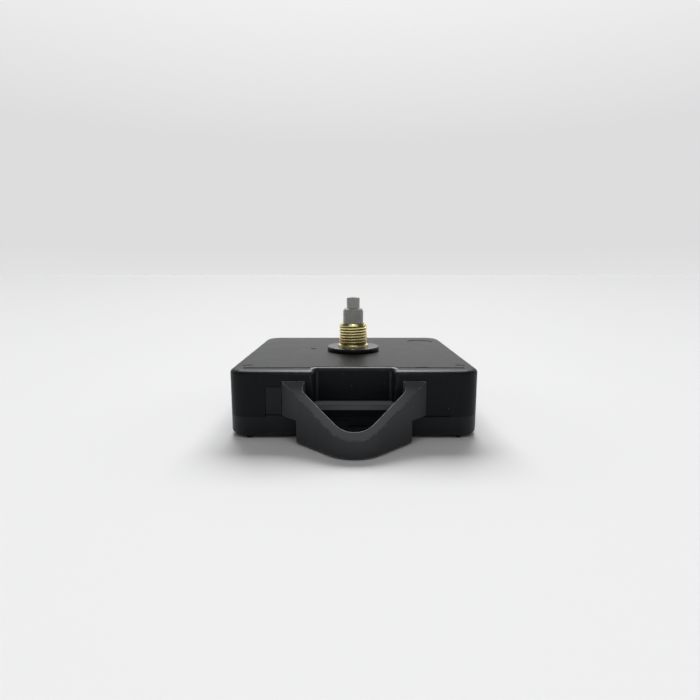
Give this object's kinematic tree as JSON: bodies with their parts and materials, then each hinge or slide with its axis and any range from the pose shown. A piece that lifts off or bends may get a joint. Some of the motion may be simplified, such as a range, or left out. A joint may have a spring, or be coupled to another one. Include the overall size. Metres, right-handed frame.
{
  "type": "quartz clock movement",
  "caption": "Square battery driven clock movement with a threaded dial bush, concentric hand shafts, rubber washer, hanging loop and setting knob.",
  "frame": {"origin": "on the hand shaft's axis at the dial seat, the top of the rubber washer", "axes": "+Z out through the dial along the hand shaft, -Y towards twelve o'clock and the hanging loop, +Y towards the battery bay"},
  "size_m": [0.0574, 0.0707, 0.0308],
  "materials": {
    "case_plastic": "satin moulded",
    "cover_plastic": "satin moulded",
    "hanger_plastic": "fine matte moulded",
    "rubber": "matte",
    "brass": "turned, satin",
    "hour_plastic": "matte moulded",
    "minute_plastic": "matte moulded",
    "steel": "ground",
    "wheel_plastic": "moulded",
    "magnet": "sintered",
    "soft_iron": "stamped",
    "bobbin_plastic": "moulded",
    "copper": "enamelled wire",
    "board": "lacquered laminate",
    "resin": "cast",
    "plated_steel": "nickel plated",
    "knob_plastic": "moulded"
  },
  "bodies": {
    "case": {"front_case": "case_plastic", "back_cover": "cover_plastic", "hanger": "hanger_plastic", "rubber_washer": "rubber", "threaded_bush": "brass", "middle_plate": "wheel_plastic", "stator": "soft_iron", "coil_core": "soft_iron", "coil_bobbin": "bobbin_plastic", "coil_winding": "copper", "coil_leads": "copper", "circuit_board": "board", "chip_blob": "resin", "quartz_crystal": "steel", "positive_contact": "plated_steel", "negative_contact": "plated_steel"},
    "seconds": {"seconds_arbor": "steel", "second_wheel": "wheel_plastic"},
    "third": {"third_wheel": "wheel_plastic"},
    "centre": {"centre_wheel": "wheel_plastic", "clutch_spring": "steel"},
    "intermediate": {"intermediate_wheel": "wheel_plastic"},
    "rotor": {"rotor_pinion": "wheel_plastic", "rotor_magnet": "magnet"},
    "minute": {"minute_arbor": "minute_plastic"},
    "motion": {"motion_wheel": "wheel_plastic"},
    "hour": {"hour_wheel": "hour_plastic"},
    "setting": {"setting_knob": "knob_plastic", "setting_pinion": "wheel_plastic"}
  },
  "joints": [
    {"name": "seconds_spin", "type": "hinge", "parent": "case", "child": "seconds", "pos_m": [0, 0, 0], "axis": [0, 0, 1], "continuous": true},
    {"name": "third_spin", "type": "hinge", "parent": "case", "child": "third", "pos_m": [0.01005, -0.00177, 0], "axis": [0, 0, 1], "continuous": true},
    {"name": "centre_spin", "type": "hinge", "parent": "case", "child": "centre", "pos_m": [0, 0, 0], "axis": [0, 0, 1], "continuous": true},
    {"name": "intermediate_spin", "type": "hinge", "parent": "case", "child": "intermediate", "pos_m": [-0.01015, -0.00369, 0], "axis": [0, 0, 1], "continuous": true},
    {"name": "rotor_spin", "type": "hinge", "parent": "case", "child": "rotor", "pos_m": [-0.01703, -0.00851, 0], "axis": [0, 0, 1], "continuous": true},
    {"name": "minute_spin", "type": "hinge", "parent": "case", "child": "minute", "pos_m": [0, 0, 0], "axis": [0, 0, 1], "continuous": true},
    {"name": "motion_spin", "type": "hinge", "parent": "case", "child": "motion", "pos_m": [0, -0.0096, 0], "axis": [0, 0, 1], "continuous": true},
    {"name": "hour_spin", "type": "hinge", "parent": "case", "child": "hour", "pos_m": [0, 0, 0], "axis": [0, 0, 1], "continuous": true},
    {"name": "setting_spin", "type": "hinge", "parent": "case", "child": "setting", "pos_m": [0.00935, -0.015, 0], "axis": [0, 0, 1], "continuous": true}
  ],
  "couplings": [
    {"joint": "third_spin", "follows": "seconds_spin", "ratio": -0.13333},
    {"joint": "centre_spin", "follows": "seconds_spin", "ratio": 0.016667},
    {"joint": "intermediate_spin", "follows": "seconds_spin", "ratio": -5},
    {"joint": "rotor_spin", "follows": "seconds_spin", "ratio": 30},
    {"joint": "motion_spin", "follows": "minute_spin", "ratio": -0.33333},
    {"joint": "hour_spin", "follows": "minute_spin", "ratio": 0.083333},
    {"joint": "setting_spin", "follows": "minute_spin", "ratio": 0.66667}
  ]
}
